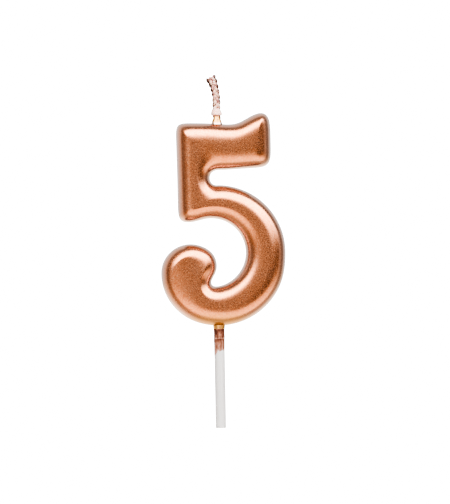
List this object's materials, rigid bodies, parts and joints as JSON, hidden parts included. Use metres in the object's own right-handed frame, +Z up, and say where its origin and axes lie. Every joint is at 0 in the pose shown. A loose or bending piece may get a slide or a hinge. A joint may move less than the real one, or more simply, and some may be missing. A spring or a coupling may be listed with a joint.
{
  "type": "number birthday candle",
  "caption": "Moulded wax numeral candle with a metallic copper lacquer coat, a plaited wick on top and a plain plastic pick below that pushes into a cake.",
  "frame": {"origin": "on the axis of the pick, level with the lowest point of the numeral, where the candle meets the cake", "axes": "+Z up along the pick towards the wick, +X to the right across the numeral as it reads from the front, front face towards -Y"},
  "size_m": [0.0416, 0.011, 0.1176],
  "materials": {
    "paraffin_wax": "plain cast paraffin wax, hidden under the coat",
    "copper_lacquer": "satin metallic copper lacquer with a fine flake",
    "wick_cotton": "waxed plaited cotton dusted with copper lacquer",
    "wick_wax": "translucent pale wax",
    "white_plastic": "smooth moulded white plastic",
    "thin_lacquer": "thin, patchy copper lacquer over white plastic"
  },
  "bodies": {
    "root": {"wax_body": "paraffin_wax", "lacquer_coat": "copper_lacquer", "wick_strand_1": "wick_cotton", "wick_strand_2": "wick_cotton", "wick_strand_3": "wick_cotton", "wick_foot": "copper_lacquer", "wick_bead": "wick_wax", "pick": "white_plastic", "pick_collar": "copper_lacquer", "pick_overspray": "thin_lacquer"}
  },
  "joints": []
}
